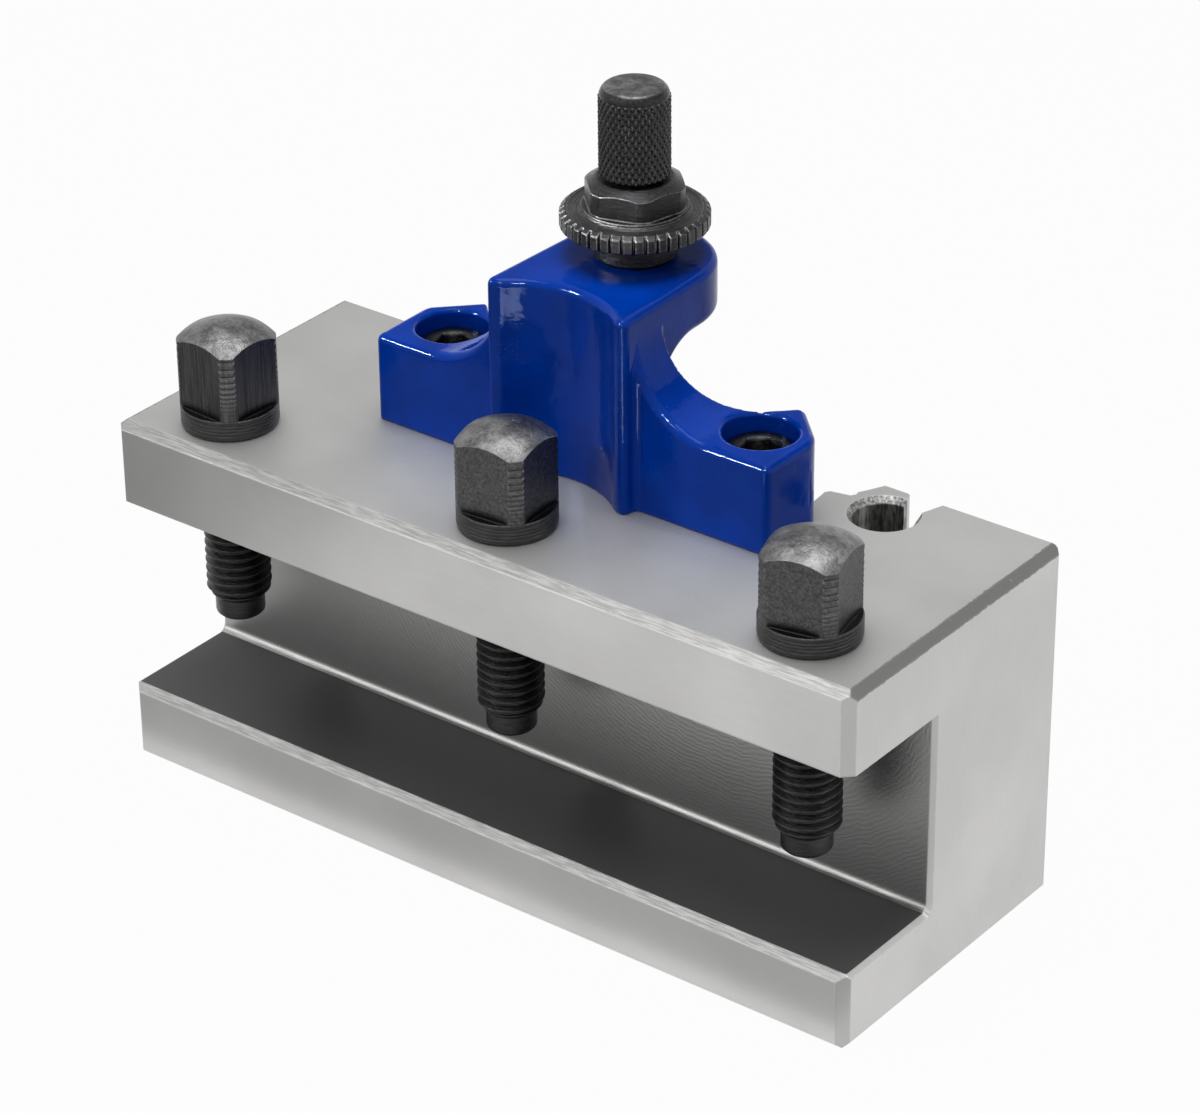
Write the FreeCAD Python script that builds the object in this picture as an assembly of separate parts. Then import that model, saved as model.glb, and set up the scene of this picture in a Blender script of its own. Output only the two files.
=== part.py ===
"""Quick-change lathe tool holder for square-shank tools.

A milled steel block has an open tool slot along its front, under three square-head clamp screws. Its back
is a serrated recess that sits on a round tool post, between two vertical channels for the post's hook
bolts. A cast bracket on top carries the height screw, which rests on the post, and its lock nut.

Millimetres. The origin is the centre of the block's underside, +X runs along the tool slot, +Y points back
to the tool post and +Z is up.
"""
import FreeCAD, Part
import math
import os

Vector = FreeCAD.Vector
UP = Vector(0, 0, 1)

# Holder block
block_length = 135.0
block_depth = 52.5
lower_jaw = 12.8
slot_height = 32.7
upper_jaw = 13.3
slot_root_radius = 1.2
front_chamfer_back = 1.7
front_chamfer_down = 1.0
edge_chamfer = 1.3
front_corner_chamfer = 1.6
back_corner_chamfer = 0.6
back_top_chamfer = 0.3
slot_end_chamfer = 0.7

# Serrated recess for the tool post
teeth_per_turn = 40
serration_tip_radius = 39.1
serration_depth = 2.2
tooth_flat = 0.9
recess_wall = 6.2
post_setback = 16.2
full_teeth_each_side = 6
claw_relief_depth = 1.7

# Channels for the hook bolts
channel_wall = 2.226
channel_radius = 4.65
channel_setback = 7.4
claw_reach = 0.3
channel_opening = 3.95
flare_start = 3.5
flare_width = 1.3
channel_mouth_chamfer = 0.85
claw_round = 1.8

# Clamp screws
clamp_end_distance = 14.2
clamp_thread_radius = 5.0
clamp_lengths = (32.8, 34.1, 34.7)
dog_radius = 3.8
dog_length = 3.3
collar_radius = 7.45
collar_height = 3.4
square_across_flats = 11.9
square_heights = (10.5, 10.2, 9.9)
crown_radius = 12.0
crown_flat_radius = 3.0
square_turns = (-3.6, 4.4, 11.5)

# Adjuster bracket
bracket_setback = 3.2
ear_half_length = 36.0
ear_side_depth = 12.0
ear_height = 14.2
bracket_rear_gap = 0.05
ramp_radius = 13.5
tower_half_width = 12.7
tower_nose = 2.4
tower_height = 31.1
tower_end_radius = 12.0
tower_end_thickness = 8.6
under_tower_round = 8.0
under_tower_bands = 3
tower_nose_width = 1.91
height_screw_forward = 27.4
ear_corner_round = 1.0
ear_tip_round = 2.0
nose_outer_round = 1.3
nose_inner_round = 0.9
tower_rim_chamfer = 0.7

# Cap screws that hold the bracket
bracket_screw_end_distance = 7.7
bracket_screw_inset = 9.0
cap_head_radius = 5.0
cap_head_height = 6.0
cap_head_sink = 2.5
cap_head_chamfer = 0.5
cap_thread_radius = 3.0
cap_length = 16.0
cap_socket_across = 5.0
cap_socket_depth = 3.0
counterbore_gap = 0.5
shank_gap = 0.3

# Height screw and lock nut
height_thread_radius = 4.0
height_thread_length = 41.5
stem_radius = 5.3
stem_length = 13.7
stem_chamfer = 1.0
stem_top_radius = 4.6
stem_gap = 0.3
nut_hub_radius = 6.4
nut_hub_height = 4.5
flange_radius = 11.05
flange_height = 3.0
flange_notches = 40
notch_depth = 0.6
notch_share = 0.45
hex_across = 13.9
hex_turned_radius = 7.5
hex_top_radius = 5.7
hex_top_chamfer = 1.4
hex_height = 5.0
hex_turn = 16.2

# Clearances shared by the pieces
thread_gap = 0.05
overshoot = 5.0
margin = 1.0

# Places that follow from the sizes above
block_height = lower_jaw + slot_height + upper_jaw
front = -block_depth / 2
back = block_depth / 2
jaw_under = lower_jaw + slot_height
serration_root_radius = serration_tip_radius + serration_depth
post_centre = back + post_setback
slot_back = post_centre - serration_root_radius - recess_wall
channel_centre = back - channel_setback
channel_reach = serration_root_radius + channel_wall + channel_radius
channel_x = math.sqrt(channel_reach ** 2 - (post_centre - channel_centre) ** 2)
bracket_rear_radius = serration_tip_radius + bracket_rear_gap
clamp_y = (front + slot_back) / 2
clamp_spacing = block_length / 2 - clamp_end_distance
bracket_front = slot_back + bracket_setback
tower_front = bracket_front - tower_nose
bracket_top = block_height + tower_height
nose_inner = tower_half_width - tower_nose_width
wrench_clearance_radius = math.hypot(nose_inner, tower_front - clamp_y)
height_screw_y = post_centre - height_screw_forward
bracket_screw_y = bracket_front + bracket_screw_inset
bracket_screw_spacing = 2 * (ear_half_length - bracket_screw_end_distance)
ear_top = block_height + ear_height
cap_seat = ear_top - cap_head_sink - cap_head_height
nut_height = nut_hub_height + flange_height + hex_height
stem_bottom = bracket_top + nut_height + stem_gap


def prism(points, direction):
    """A closed outline of straight edges, carried along a direction."""
    return Part.Face(Part.makePolygon(points + points[:1])).extrude(direction)


def turned(points, x, y):
    """A solid turned about the upright line through x, y from (radius, height) points."""
    outline = [Vector(x + radius, y, height) for radius, height in points]
    return Part.Face(Part.makePolygon(outline + outline[:1])).revolve(Vector(x, y, 0), UP, 360)


def upright(radius, x, y, bottom, top):
    return Part.makeCylinder(radius, top - bottom, Vector(x, y, bottom), UP)


def edges_where(shape, test):
    """Edges whose both ends and middle pass a test of their points."""
    chosen = []
    for edge in shape.Edges:
        first, last = edge.FirstParameter, edge.LastParameter
        points = [edge.valueAt(first), edge.valueAt((first + last) / 2), edge.valueAt(last)]
        if all(test(point) for point in points):
            chosen.append(edge)
    return chosen


def near(a, b, tolerance=0.02):
    return abs(a - b) < tolerance


def block_side_outline():
    """The C-shaped section across the tool slot, chamfered at the front, the back and the underside."""
    sections = [
        Vector(0, front + edge_chamfer, 0),
        Vector(0, back - edge_chamfer, 0),
        Vector(0, back, edge_chamfer),
        Vector(0, back, block_height - back_top_chamfer),
        Vector(0, back - back_top_chamfer, block_height),
        Vector(0, front + front_chamfer_back, block_height),
        Vector(0, front, block_height - front_chamfer_down),
        Vector(0, front, jaw_under),
        Vector(0, slot_back, jaw_under),
        Vector(0, slot_back, lower_jaw),
        Vector(0, front + edge_chamfer, lower_jaw),
        Vector(0, front, lower_jaw - front_chamfer_down),
        Vector(0, front, edge_chamfer),
    ]
    shift = Vector(-block_length / 2, 0, 0)
    return prism([point + shift for point in sections], Vector(block_length, 0, 0))


def block_plan_outline():
    """The plan of the block, with its four upright corners chamfered."""
    half = block_length / 2
    right = [
        Vector(half - front_corner_chamfer, front, 0),
        Vector(half, front + front_corner_chamfer, 0),
        Vector(half, back - back_corner_chamfer, 0),
        Vector(half - back_corner_chamfer, back, 0),
    ]
    left = [Vector(-point.x, point.y, 0) for point in reversed(right)]
    return prism(right + left, Vector(0, 0, block_height))


def block_front_outline():
    """The front view of the block, with the four edges of its end faces chamfered."""
    half = block_length / 2
    points = [
        Vector(-half + edge_chamfer, front, 0),
        Vector(half - edge_chamfer, front, 0),
        Vector(half, front, edge_chamfer),
        Vector(half, front, block_height - edge_chamfer),
        Vector(half - edge_chamfer, front, block_height),
        Vector(-half + edge_chamfer, front, block_height),
        Vector(-half, front, block_height - edge_chamfer),
        Vector(-half, front, edge_chamfer),
    ]
    return prism(points, Vector(0, block_depth, 0))


def round_slot_root(block):
    """Round the inner corner where the slot's floor meets its back wall, then bevel the slot's ends."""
    def on_root(point):
        return near(point.y, slot_back) and near(point.z, lower_jaw)

    rounded = block.makeFillet(slot_root_radius, edges_where(block, on_root))

    def on_slot_end(point):
        at_end = near(abs(point.x), block_length / 2)
        on_back_wall = near(point.y, slot_back) and point.z < jaw_under + 0.02
        on_floor = near(point.z, lower_jaw) and point.y < slot_back
        at_root = point.y > slot_back - slot_root_radius - 0.02 and point.z < lower_jaw + slot_root_radius
        return at_end and point.z > lower_jaw - 0.02 and (on_back_wall or on_floor or at_root)

    return rounded.makeChamfer(slot_end_chamfer, edges_where(rounded, on_slot_end))


def serration_cutter():
    """The tool post's toothed outline, with one of the holder's teeth on the centreline."""
    pitch = math.radians(360 / teeth_per_turn)
    tip_half = tooth_flat / 2 / serration_tip_radius
    root_half = tooth_flat / 2 / serration_root_radius
    points = []
    for tooth in range(teeth_per_turn):
        tip = tooth * pitch - math.pi / 2
        root = tip + pitch / 2
        corners = [
            (serration_tip_radius, tip - tip_half),
            (serration_tip_radius, tip + tip_half),
            (serration_root_radius, root - root_half),
            (serration_root_radius, root + root_half),
        ]
        for radius, angle in corners:
            y = post_centre + radius * math.sin(angle)
            points.append(Vector(radius * math.cos(angle), y, -overshoot))
    return prism(points, Vector(0, 0, block_height + 2 * overshoot))


def claw_relief(side):
    """The last tooth is ground back, from the root beside it to the claw."""
    radius = serration_tip_radius + claw_relief_depth
    turn = 2 * math.pi / teeth_per_turn * (full_teeth_each_side + 0.5)
    far = 2 * radius
    sector = prism([
        Vector(0, post_centre, -overshoot),
        Vector(side * far * math.sin(turn), post_centre - far * math.cos(turn), -overshoot),
        Vector(side * far, post_centre, -overshoot),
    ], Vector(0, 0, block_height + 2 * overshoot))
    return sector.common(upright(radius, 0, post_centre, -overshoot, block_height + overshoot))


def hook_channel(side):
    """A round channel with a bevelled upper mouth, open to the back between its claw and the outer pad."""
    x = side * channel_x
    bore = upright(channel_radius, x, channel_centre, -overshoot, block_height + overshoot)
    mouth_radius = channel_radius + channel_mouth_chamfer
    mouth = Part.makeCone(channel_radius, mouth_radius, channel_mouth_chamfer,
                          Vector(x, channel_centre, block_height - channel_mouth_chamfer), UP)
    inner = x + side * claw_reach
    outer = inner + side * channel_opening
    beyond = back + overshoot
    flare_slope = flare_width / (channel_setback - flare_start)
    flared = outer + side * flare_slope * (beyond - channel_centre - flare_start)
    opening = prism([
        Vector(inner, channel_centre, -overshoot),
        Vector(outer, channel_centre, -overshoot),
        Vector(outer, channel_centre + flare_start, -overshoot),
        Vector(flared, beyond, -overshoot),
        Vector(inner, beyond, -overshoot),
    ], Vector(0, 0, block_height + 2 * overshoot))
    return bore.fuse([mouth, opening])


def round_claws(block):
    """Round the upright edges of the claws beside the channels, where they meet the back face."""
    claw_x = channel_x + claw_reach

    def on_claw(point):
        return near(abs(point.x), claw_x) and near(point.y, back)

    return block.makeFillet(claw_round, edges_where(block, on_claw))


def holder_body():
    block = block_side_outline().common(block_plan_outline()).common(block_front_outline())
    block = round_slot_root(block)
    recess = [serration_cutter(), claw_relief(-1), claw_relief(1)]
    block = block.cut(recess + [hook_channel(-1), hook_channel(1)])
    block = round_claws(block)
    holes = []
    for place in (-1, 0, 1):
        holes.append(upright(clamp_thread_radius + thread_gap, place * clamp_spacing, clamp_y,
                             jaw_under - overshoot, block_height + overshoot))
    for side in (-1, 1):
        bottom = cap_seat - cap_length - overshoot
        holes.append(upright(cap_thread_radius + thread_gap, side * bracket_screw_spacing / 2,
                             bracket_screw_y, bottom, block_height + overshoot))
    return block.cut(holes)


def crown_height(radius):
    """Height of the crown above its rim, at a distance from the screw's axis."""
    return math.sqrt(crown_radius ** 2 - radius ** 2) - math.sqrt(crown_radius ** 2 - collar_radius ** 2)


def clamp_screw(place):
    """A square-head screw with a collar, a crowned top and a plain dog point; 0, 1, 2 from the left."""
    x = (place - 1) * clamp_spacing
    collar_top = block_height + collar_height
    corner_top = collar_top + square_heights[place]
    tip = block_height - clamp_lengths[place]
    dog_top = tip + dog_length
    bevel_top = dog_top + clamp_thread_radius - dog_radius
    crown_top = corner_top + crown_height(crown_flat_radius)
    shank = turned([(0, tip), (dog_radius, tip), (dog_radius, dog_top), (clamp_thread_radius, bevel_top),
                    (clamp_thread_radius, block_height), (0, block_height)], x, clamp_y)
    bar = turned([(0, block_height), (collar_radius, block_height), (collar_radius, corner_top),
                  (crown_flat_radius, crown_top), (0, crown_top)], x, clamp_y)
    half = square_across_flats / 2
    square = Part.makeBox(square_across_flats, square_across_flats, crown_radius * 2,
                          Vector(x - half, clamp_y - half, collar_top))
    square.rotate(Vector(x, clamp_y, 0), UP, square_turns[place])
    collar = upright(collar_radius + margin, x, clamp_y, block_height - margin, collar_top)
    return shank.fuse(bar.common(square.fuse(collar))).removeSplitter()


def tower_touch():
    """The point where the tower's tapered side runs into its round end, on the +X side."""
    reach = height_screw_y - tower_front
    distance = math.hypot(tower_half_width, reach)
    turn = math.acos(tower_end_radius / distance) - math.atan2(reach, tower_half_width)
    return Vector(tower_end_radius * math.cos(turn), height_screw_y + tower_end_radius * math.sin(turn),
                  block_height)


def tower():
    """The tower that carries the height screw: round at the back and overhanging the recess."""
    touch = tower_touch()
    points = [
        Vector(-tower_half_width, tower_front, block_height),
        Vector(tower_half_width, tower_front, block_height),
        touch,
        Vector(-touch.x, touch.y, block_height),
    ]
    body = prism(points, Vector(0, 0, tower_height))
    return body.fuse(upright(tower_end_radius, 0, height_screw_y, block_height, bracket_top))


def shoulder(side):
    """The space beside the tower: down its side, round the concave ramp and out over the ear."""
    ramp_foot = tower_half_width + ramp_radius
    ramp_head = ear_top + ramp_radius
    diagonal = ramp_radius * (1 - math.sqrt(0.5))
    y = tower_front
    high = bracket_top + margin
    far = ear_half_length + ramp_radius

    def at(x, z):
        return Vector(side * x, y, z)

    ramp = Part.Arc(at(ramp_foot, ear_top), at(tower_half_width + diagonal, ear_top + diagonal),
                    at(tower_half_width, ramp_head)).toShape()
    outline = Part.Wire([
        Part.makeLine(at(tower_half_width, high), at(far, high)),
        Part.makeLine(at(far, high), at(far, ear_top)),
        Part.makeLine(at(far, ear_top), at(ramp_foot, ear_top)),
        ramp,
        Part.makeLine(at(tower_half_width, ramp_head), at(tower_half_width, high)),
    ])
    touch = tower_touch()
    direction = Vector(side * (touch.x - tower_half_width), touch.y - y, 0)
    direction.multiply((direction.Length + overshoot) / direction.Length)
    return Part.Face(outline).extrude(direction)


def ears():
    """Both ears with their ramps: square front corners, cut back corners and a rear that clears the post."""
    side_end = bracket_front + ear_side_depth
    reach = post_centre - side_end
    points = [
        Vector(-ear_half_length, bracket_front, block_height),
        Vector(ear_half_length, bracket_front, block_height),
        Vector(ear_half_length, side_end, block_height),
        Vector(ear_half_length - reach, side_end + reach, block_height),
        Vector(-ear_half_length + reach, side_end + reach, block_height),
        Vector(-ear_half_length, side_end, block_height),
    ]
    plan = prism(points, Vector(0, 0, tower_height))
    behind = upright(bracket_rear_radius, 0, post_centre, block_height - margin, bracket_top + margin)
    return plan.cut([shoulder(-1), shoulder(1), behind])


def post_clearance():
    """The space for the tool post behind the bracket, rounded in flat bands under the tower's overhang."""
    ceiling = bracket_top - tower_end_thickness
    outline = [(0, block_height - margin), (bracket_rear_radius, block_height - margin)]
    for band in range(under_tower_bands + 1):
        angle = math.pi / 2 * band / under_tower_bands
        outline.append((bracket_rear_radius - under_tower_round * (1 - math.cos(angle)),
                        ceiling - under_tower_round * (1 - math.sin(angle))))
    return turned(outline + [(0, ceiling)], 0, post_centre)


def round_bracket(body):
    """Round the casting's upright corners, then bevel the rim of the tower's top."""

    def upright_at(x, y):
        def on_corner(point):
            return near(abs(point.x), x, 0.05) and near(point.y, y, 0.05)
        return on_corner

    side_end = bracket_front + ear_side_depth
    run = ear_half_length + side_end - post_centre
    tip = (run + math.sqrt(2 * bracket_rear_radius ** 2 - run ** 2)) / 2
    corners = [
        (ear_half_length, bracket_front, ear_corner_round),
        (ear_half_length, side_end, ear_corner_round),
        (tip, ear_half_length + side_end - tip, ear_tip_round),
        (tower_half_width, tower_front, nose_outer_round),
        (nose_inner, tower_front, nose_inner_round),
    ]
    for x, y, radius in corners:
        body = body.makeFillet(radius, edges_where(body, upright_at(x, y)))

    def on_tower_top(point):
        return near(point.z, bracket_top)

    return body.makeChamfer(tower_rim_chamfer, edges_where(body, on_tower_top))


def adjuster_bracket():
    body = ears().fuse(tower().cut(post_clearance())).removeSplitter()
    body = body.cut(upright(wrench_clearance_radius, 0, clamp_y, block_height - margin,
                            bracket_top + margin))
    body = round_bracket(body)
    holes = [upright(height_thread_radius + thread_gap, 0, height_screw_y, block_height,
                     bracket_top + margin)]
    for side in (-1, 1):
        x = side * bracket_screw_spacing / 2
        holes.append(upright(cap_head_radius + counterbore_gap, x, bracket_screw_y, cap_seat,
                             ear_top + margin))
        holes.append(upright(cap_thread_radius + shank_gap, x, bracket_screw_y,
                             block_height - margin, cap_seat))
    return body.cut(holes)


def hexagon(across, x, y, bottom, height, turn):
    corner = across / math.sqrt(3)
    points = []
    for index in range(6):
        angle = math.radians(turn + 60 * index)
        points.append(Vector(x + corner * math.cos(angle), y + corner * math.sin(angle), bottom))
    return prism(points, Vector(0, 0, height))


def bracket_screw(side):
    """A socket-head cap screw sunk in the bracket's ear."""
    x = side * bracket_screw_spacing / 2
    head_top = cap_seat + cap_head_height
    tip = cap_seat - cap_length
    outline = [(0, tip), (cap_thread_radius, tip), (cap_thread_radius, cap_seat), (cap_head_radius, cap_seat),
               (cap_head_radius, head_top - cap_head_chamfer), (cap_head_radius - cap_head_chamfer, head_top),
               (0, head_top)]
    socket = hexagon(cap_socket_across, x, bracket_screw_y, head_top - cap_socket_depth,
                     cap_socket_depth + margin, 0)
    return turned(outline, x, bracket_screw_y).cut(socket)


def height_screw():
    """The screw that rests on the tool post, with a plain round stem to turn it by."""
    tip = bracket_top - height_thread_length + nut_height + stem_gap
    stem_top = stem_bottom + stem_length
    outline = [(0, tip), (height_thread_radius, tip), (height_thread_radius, stem_bottom),
               (stem_radius, stem_bottom),
               (stem_radius, stem_top - stem_chamfer), (stem_top_radius, stem_top), (0, stem_top)]
    return turned(outline, 0, height_screw_y)


def flange_notch(index, bottom, top):
    """One V-shaped notch in the flange's rim."""
    angle = 2 * math.pi * index / flange_notches
    half = math.pi / flange_notches * notch_share
    outside = flange_radius + notch_depth
    points = []
    for radius, turn in ((outside, angle + 2 * half), (flange_radius - notch_depth, angle),
                         (outside, angle - 2 * half)):
        points.append(Vector(radius * math.cos(turn), height_screw_y + radius * math.sin(turn), bottom))
    return prism(points, Vector(0, 0, top - bottom))


def lock_nut():
    """A nut with a hub, a notched flange and a hexagon, drilled for the height screw."""
    flange_bottom = bracket_top + nut_hub_height
    flange_top = flange_bottom + flange_height
    hex_top = flange_top + hex_height
    round_part = turned([
        (0, bracket_top), (nut_hub_radius, bracket_top), (nut_hub_radius, flange_bottom),
        (flange_radius, flange_bottom), (flange_radius, flange_top), (0, flange_top)], 0, height_screw_y)
    bar = turned([(0, flange_top), (hex_turned_radius, flange_top),
                  (hex_turned_radius, hex_top - hex_top_chamfer), (hex_top_radius, hex_top),
                  (0, hex_top)], 0, height_screw_y)
    hexagonal = hexagon(hex_across, 0, height_screw_y, flange_top, hex_height, hex_turn)
    nut = hexagonal.common(bar).fuse(round_part)
    cutters = [upright(height_thread_radius + thread_gap, 0, height_screw_y, bracket_top - margin,
                       hex_top + margin)]
    for index in range(flange_notches):
        cutters.append(flange_notch(index, flange_bottom, flange_top))
    return nut.cut(cutters).removeSplitter()


def main():
    os.makedirs("parts", exist_ok=True)
    pieces = {
        "holder_body": holder_body(),
        "adjuster_bracket": adjuster_bracket(),
        "bracket_screw_left": bracket_screw(-1),
        "bracket_screw_right": bracket_screw(1),
        "clamp_screw_left": clamp_screw(0),
        "clamp_screw_middle": clamp_screw(1),
        "clamp_screw_right": clamp_screw(2),
        "height_screw": height_screw(),
        "lock_nut": lock_nut(),
    }
    for name, shape in pieces.items():
        shape.exportStep(f"parts/{name}.step")
        print(name, "solids", len(shape.Solids), "volume", round(shape.Volume), "valid", shape.isValid())


main()
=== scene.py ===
"""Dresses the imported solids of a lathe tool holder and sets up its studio.

The steel block keeps its CAD mesh and gets a ground finish. The enamelled bracket, the screws and the lock
nut are surfaces worked out with numpy, in millimetres, and put into meshes in metres.
"""

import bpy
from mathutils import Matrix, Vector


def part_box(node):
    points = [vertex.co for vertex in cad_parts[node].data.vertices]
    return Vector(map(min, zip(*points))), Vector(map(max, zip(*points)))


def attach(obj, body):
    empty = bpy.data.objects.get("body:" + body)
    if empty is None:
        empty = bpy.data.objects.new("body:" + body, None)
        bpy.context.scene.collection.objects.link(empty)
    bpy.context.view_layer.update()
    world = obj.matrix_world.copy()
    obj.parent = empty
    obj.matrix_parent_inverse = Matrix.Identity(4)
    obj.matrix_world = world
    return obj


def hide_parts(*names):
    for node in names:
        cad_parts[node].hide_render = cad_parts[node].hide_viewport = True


bl_info = {
    "name": "Lathe tool holder",
    "version": (1, 0, 0),
    "blender": (4, 5, 0),
    "location": "View3D > Sidebar > Tool Holder",
    "description": "Ground steel, blue enamel and black oxide for the tool holder's packed solids",
    "category": "Object",
}

import math

import bpy
import numpy as np
from mathutils import Matrix, Vector

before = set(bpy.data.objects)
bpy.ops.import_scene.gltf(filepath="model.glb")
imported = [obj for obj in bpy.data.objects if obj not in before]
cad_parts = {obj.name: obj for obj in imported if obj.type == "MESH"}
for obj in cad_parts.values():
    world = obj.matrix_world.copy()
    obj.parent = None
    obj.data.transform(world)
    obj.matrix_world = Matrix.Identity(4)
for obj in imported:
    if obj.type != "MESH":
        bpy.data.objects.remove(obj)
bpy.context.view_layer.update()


def millimetres(node):
    """Lowest and highest corner of a CAD node, in millimetres."""
    low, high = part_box(node)
    return np.array(low) * 1000, np.array(high) * 1000


BLOCK_HIGH = millimetres("holder_body")[1]
BRACKET_LOW, BRACKET_HIGH = millimetres("adjuster_bracket")
STEM_LOW, STEM_HIGH = millimetres("height_screw")
NUT_LOW, NUT_HIGH = millimetres("lock_nut")
BLOCK_TOP = BLOCK_HIGH[2]
STEM_X, STEM_Y = (STEM_LOW[:2] + STEM_HIGH[:2]) / 2
CLAMPS = ("clamp_screw_left", "clamp_screw_middle", "clamp_screw_right")
CAPS = ("bracket_screw_left", "bracket_screw_right")

# Places in the block and on the clamp screws, in millimetres
CHANNEL_X, CHANNEL_Y, CHANNEL_RIM = 42.0, 18.85, 5.6
CLAMP_X, CLAMP_Y = 53.3, -15.65
LOWER_JAW = 12.8
SLOT_BACK = -5.05
COLLAR_HEIGHT = 3.4
END_CHAMFER = 1.52
ARC_CENTRE = (30.0, 0.0, 62.0)

# The photograph's size in pixels, and the middle of the object in metres
PHOTO_WIDTH, PHOTO_HEIGHT = 1200, 1113
MIDDLE = (0.0, 0.0, 0.06)


# Sizes and colours that a user would change


def length(name, text, value):
    """A length property in metres, from a value in millimetres."""
    return bpy.props.FloatProperty(name=name, description=text, default=value / 1000, min=0.0, unit="LENGTH")


def colour(name, text, value):
    return bpy.props.FloatVectorProperty(name=name, description=text, default=value, size=3, min=0.0, max=1.0,
                                         subtype="COLOR")


class BracketSettings(bpy.types.PropertyGroup):
    """The enamelled casting that carries the height screw."""

    ramp_round: length("Ramp round", "Radius of the concave ramps beside the tower", 13.5)
    edge_round: length("Edge round", "Radius of the casting's upper edges", 1.25)
    root_round: length("Root round", "Radius of the inner corners beside the tower's nose", 1.2)
    step: length("Mesh step", "Spacing of the grid that the casting's surface is found on", 0.38)
    enamel: colour("Enamel", "Colour of the enamel", (0.0, 0.042, 0.39))


class ClampSettings(bpy.types.PropertyGroup):
    """The three square-head clamp screws."""

    across_flats: length("Across flats", "Width of the square head", 11.9)
    collar_radius: length("Collar radius", "Radius of the turned collar and of the head's corners", 7.45)
    crown_radius: length("Crown radius", "Radius of the crowned top", 12.0)
    pitch: length("Pitch", "Pitch of the clamp thread", 1.5)
    oxide: colour("Oxide", "Colour of the heads' black oxide", (0.065, 0.065, 0.067))


class AdjusterSettings(bpy.types.PropertyGroup):
    """The height screw with its knurled stem, and its lock nut."""

    knurl_starts: bpy.props.IntProperty(name="Knurl starts", description="Crossing grooves round the stem, "
                                        "each way", default=32, min=8)
    knurl_depth: length("Knurl depth", "Depth of the diamond knurl", 0.34)
    pitch: length("Pitch", "Pitch of the height screw's thread", 1.25)
    notches: bpy.props.IntProperty(name="Notches", description="Notches round the lock nut's flange",
                                   default=40, min=8)
    notch_depth: length("Notch depth", "Depth of the flange's notches", 0.6)
    oxide: colour("Oxide", "Colour of the stem's and the nut's black oxide", (0.017, 0.017, 0.018))


class BlockSettings(bpy.types.PropertyGroup):
    """The milled block."""

    steel: colour("Steel", "Colour of the ground steel", (0.61, 0.606, 0.598))
    # The slot floor's colour is painted shade
    slot_floor_shade: colour("Slot floor", "Colour of the slot's dark floor", (0.092, 0.091, 0.093))


class StageSettings(bpy.types.PropertyGroup):
    """The studio."""

    key: bpy.props.FloatProperty(name="Key lamp", description="Power of the large lamp above", default=3.4,
                                 min=0.0, unit="POWER")
    fill: bpy.props.FloatProperty(name="World", description="Strength of the world's diffuse light",
                                  default=0.22, min=0.0)


SETTINGS = {
    "holder_bracket": BracketSettings,
    "holder_clamps": ClampSettings,
    "holder_adjuster": AdjusterSettings,
    "holder_block": BlockSettings,
    "holder_stage": StageSettings,
}


# Meshes


def put_mesh(name, vertices, quads, triangles, material, sharp_angle=None, normals=None):
    """A new object from vertices in millimetres and faces as arrays of vertex numbers."""
    mesh = bpy.data.meshes.new(name)
    mesh.vertices.add(len(vertices))
    mesh.vertices.foreach_set("co", (np.asarray(vertices) / 1000).astype(np.float32).ravel())
    mesh.loops.add(quads.size + triangles.size)
    corners = np.concatenate([quads.ravel(), triangles.ravel()])
    mesh.loops.foreach_set("vertex_index", corners.astype(np.int32))
    starts = np.concatenate([np.arange(len(quads)) * 4, quads.size + np.arange(len(triangles)) * 3])
    mesh.polygons.add(len(starts))
    mesh.polygons.foreach_set("loop_start", starts.astype(np.int32))
    mesh.update(calc_edges=True)
    mesh.shade_smooth()
    if sharp_angle is not None:
        mesh.set_sharp_from_angle(angle=math.radians(sharp_angle))
    if normals is not None:
        mesh.normals_split_custom_set_from_vertices(normals.tolist())
    mesh.materials.append(material)
    piece = bpy.data.objects.new(name, mesh)
    bpy.context.scene.collection.objects.link(piece)
    return piece


def wrapped_quads(rows, columns, closed_rows=False):
    """Quads over a grid whose columns wrap round, and whose rows do too where they are closed."""
    row = np.arange(rows if closed_rows else rows - 1)[:, None]
    column = np.arange(columns)[None, :]
    above = (row + 1) % rows
    beside = (column + 1) % columns
    corners = [row * columns + column, row * columns + beside,
               above * columns + beside, above * columns + column]
    return np.stack(corners, axis=-1).reshape(-1, 4)


def turned_grid(rows, angles, x, y):
    """Points round the axis at x, y: a row for each (radius, height)."""
    radius = np.stack([np.broadcast_to(r, angles.shape) for r, z in rows])
    height = np.stack([np.broadcast_to(z, angles.shape) for r, z in rows])
    return np.stack([x + radius * np.cos(angles), y + radius * np.sin(angles), height], axis=-1)


def capped_mesh(grid):
    """A closed surface: the grid's rows wrap round an axis and both ends close at a pole on it."""
    rows, columns = grid.shape[:2]
    bottom = grid[0].mean(axis=0)
    top = grid[-1].mean(axis=0)
    vertices = np.concatenate([grid.reshape(-1, 3), [bottom, top]])
    column = np.arange(columns)
    beside = (column + 1) % columns
    last = (rows - 1) * columns
    under = np.stack([np.full(columns, rows * columns), beside, column], axis=-1)
    over = np.stack([np.full(columns, rows * columns + 1), last + column, last + beside], axis=-1)
    return vertices, wrapped_quads(rows, columns), np.concatenate([under, over])


def ring_mesh(grid):
    """A closed ring: the grid wraps both ways."""
    rows, columns = grid.shape[:2]
    return grid.reshape(-1, 3), wrapped_quads(rows, columns, True), np.zeros((0, 3), int)


def soft_min(a, b, blend):
    """The smaller of two values, rounded over where they lie within the blend of each other."""
    return np.minimum(a, b) - np.maximum(blend - np.abs(a - b), 0) ** 2 / (4 * blend)


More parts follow.
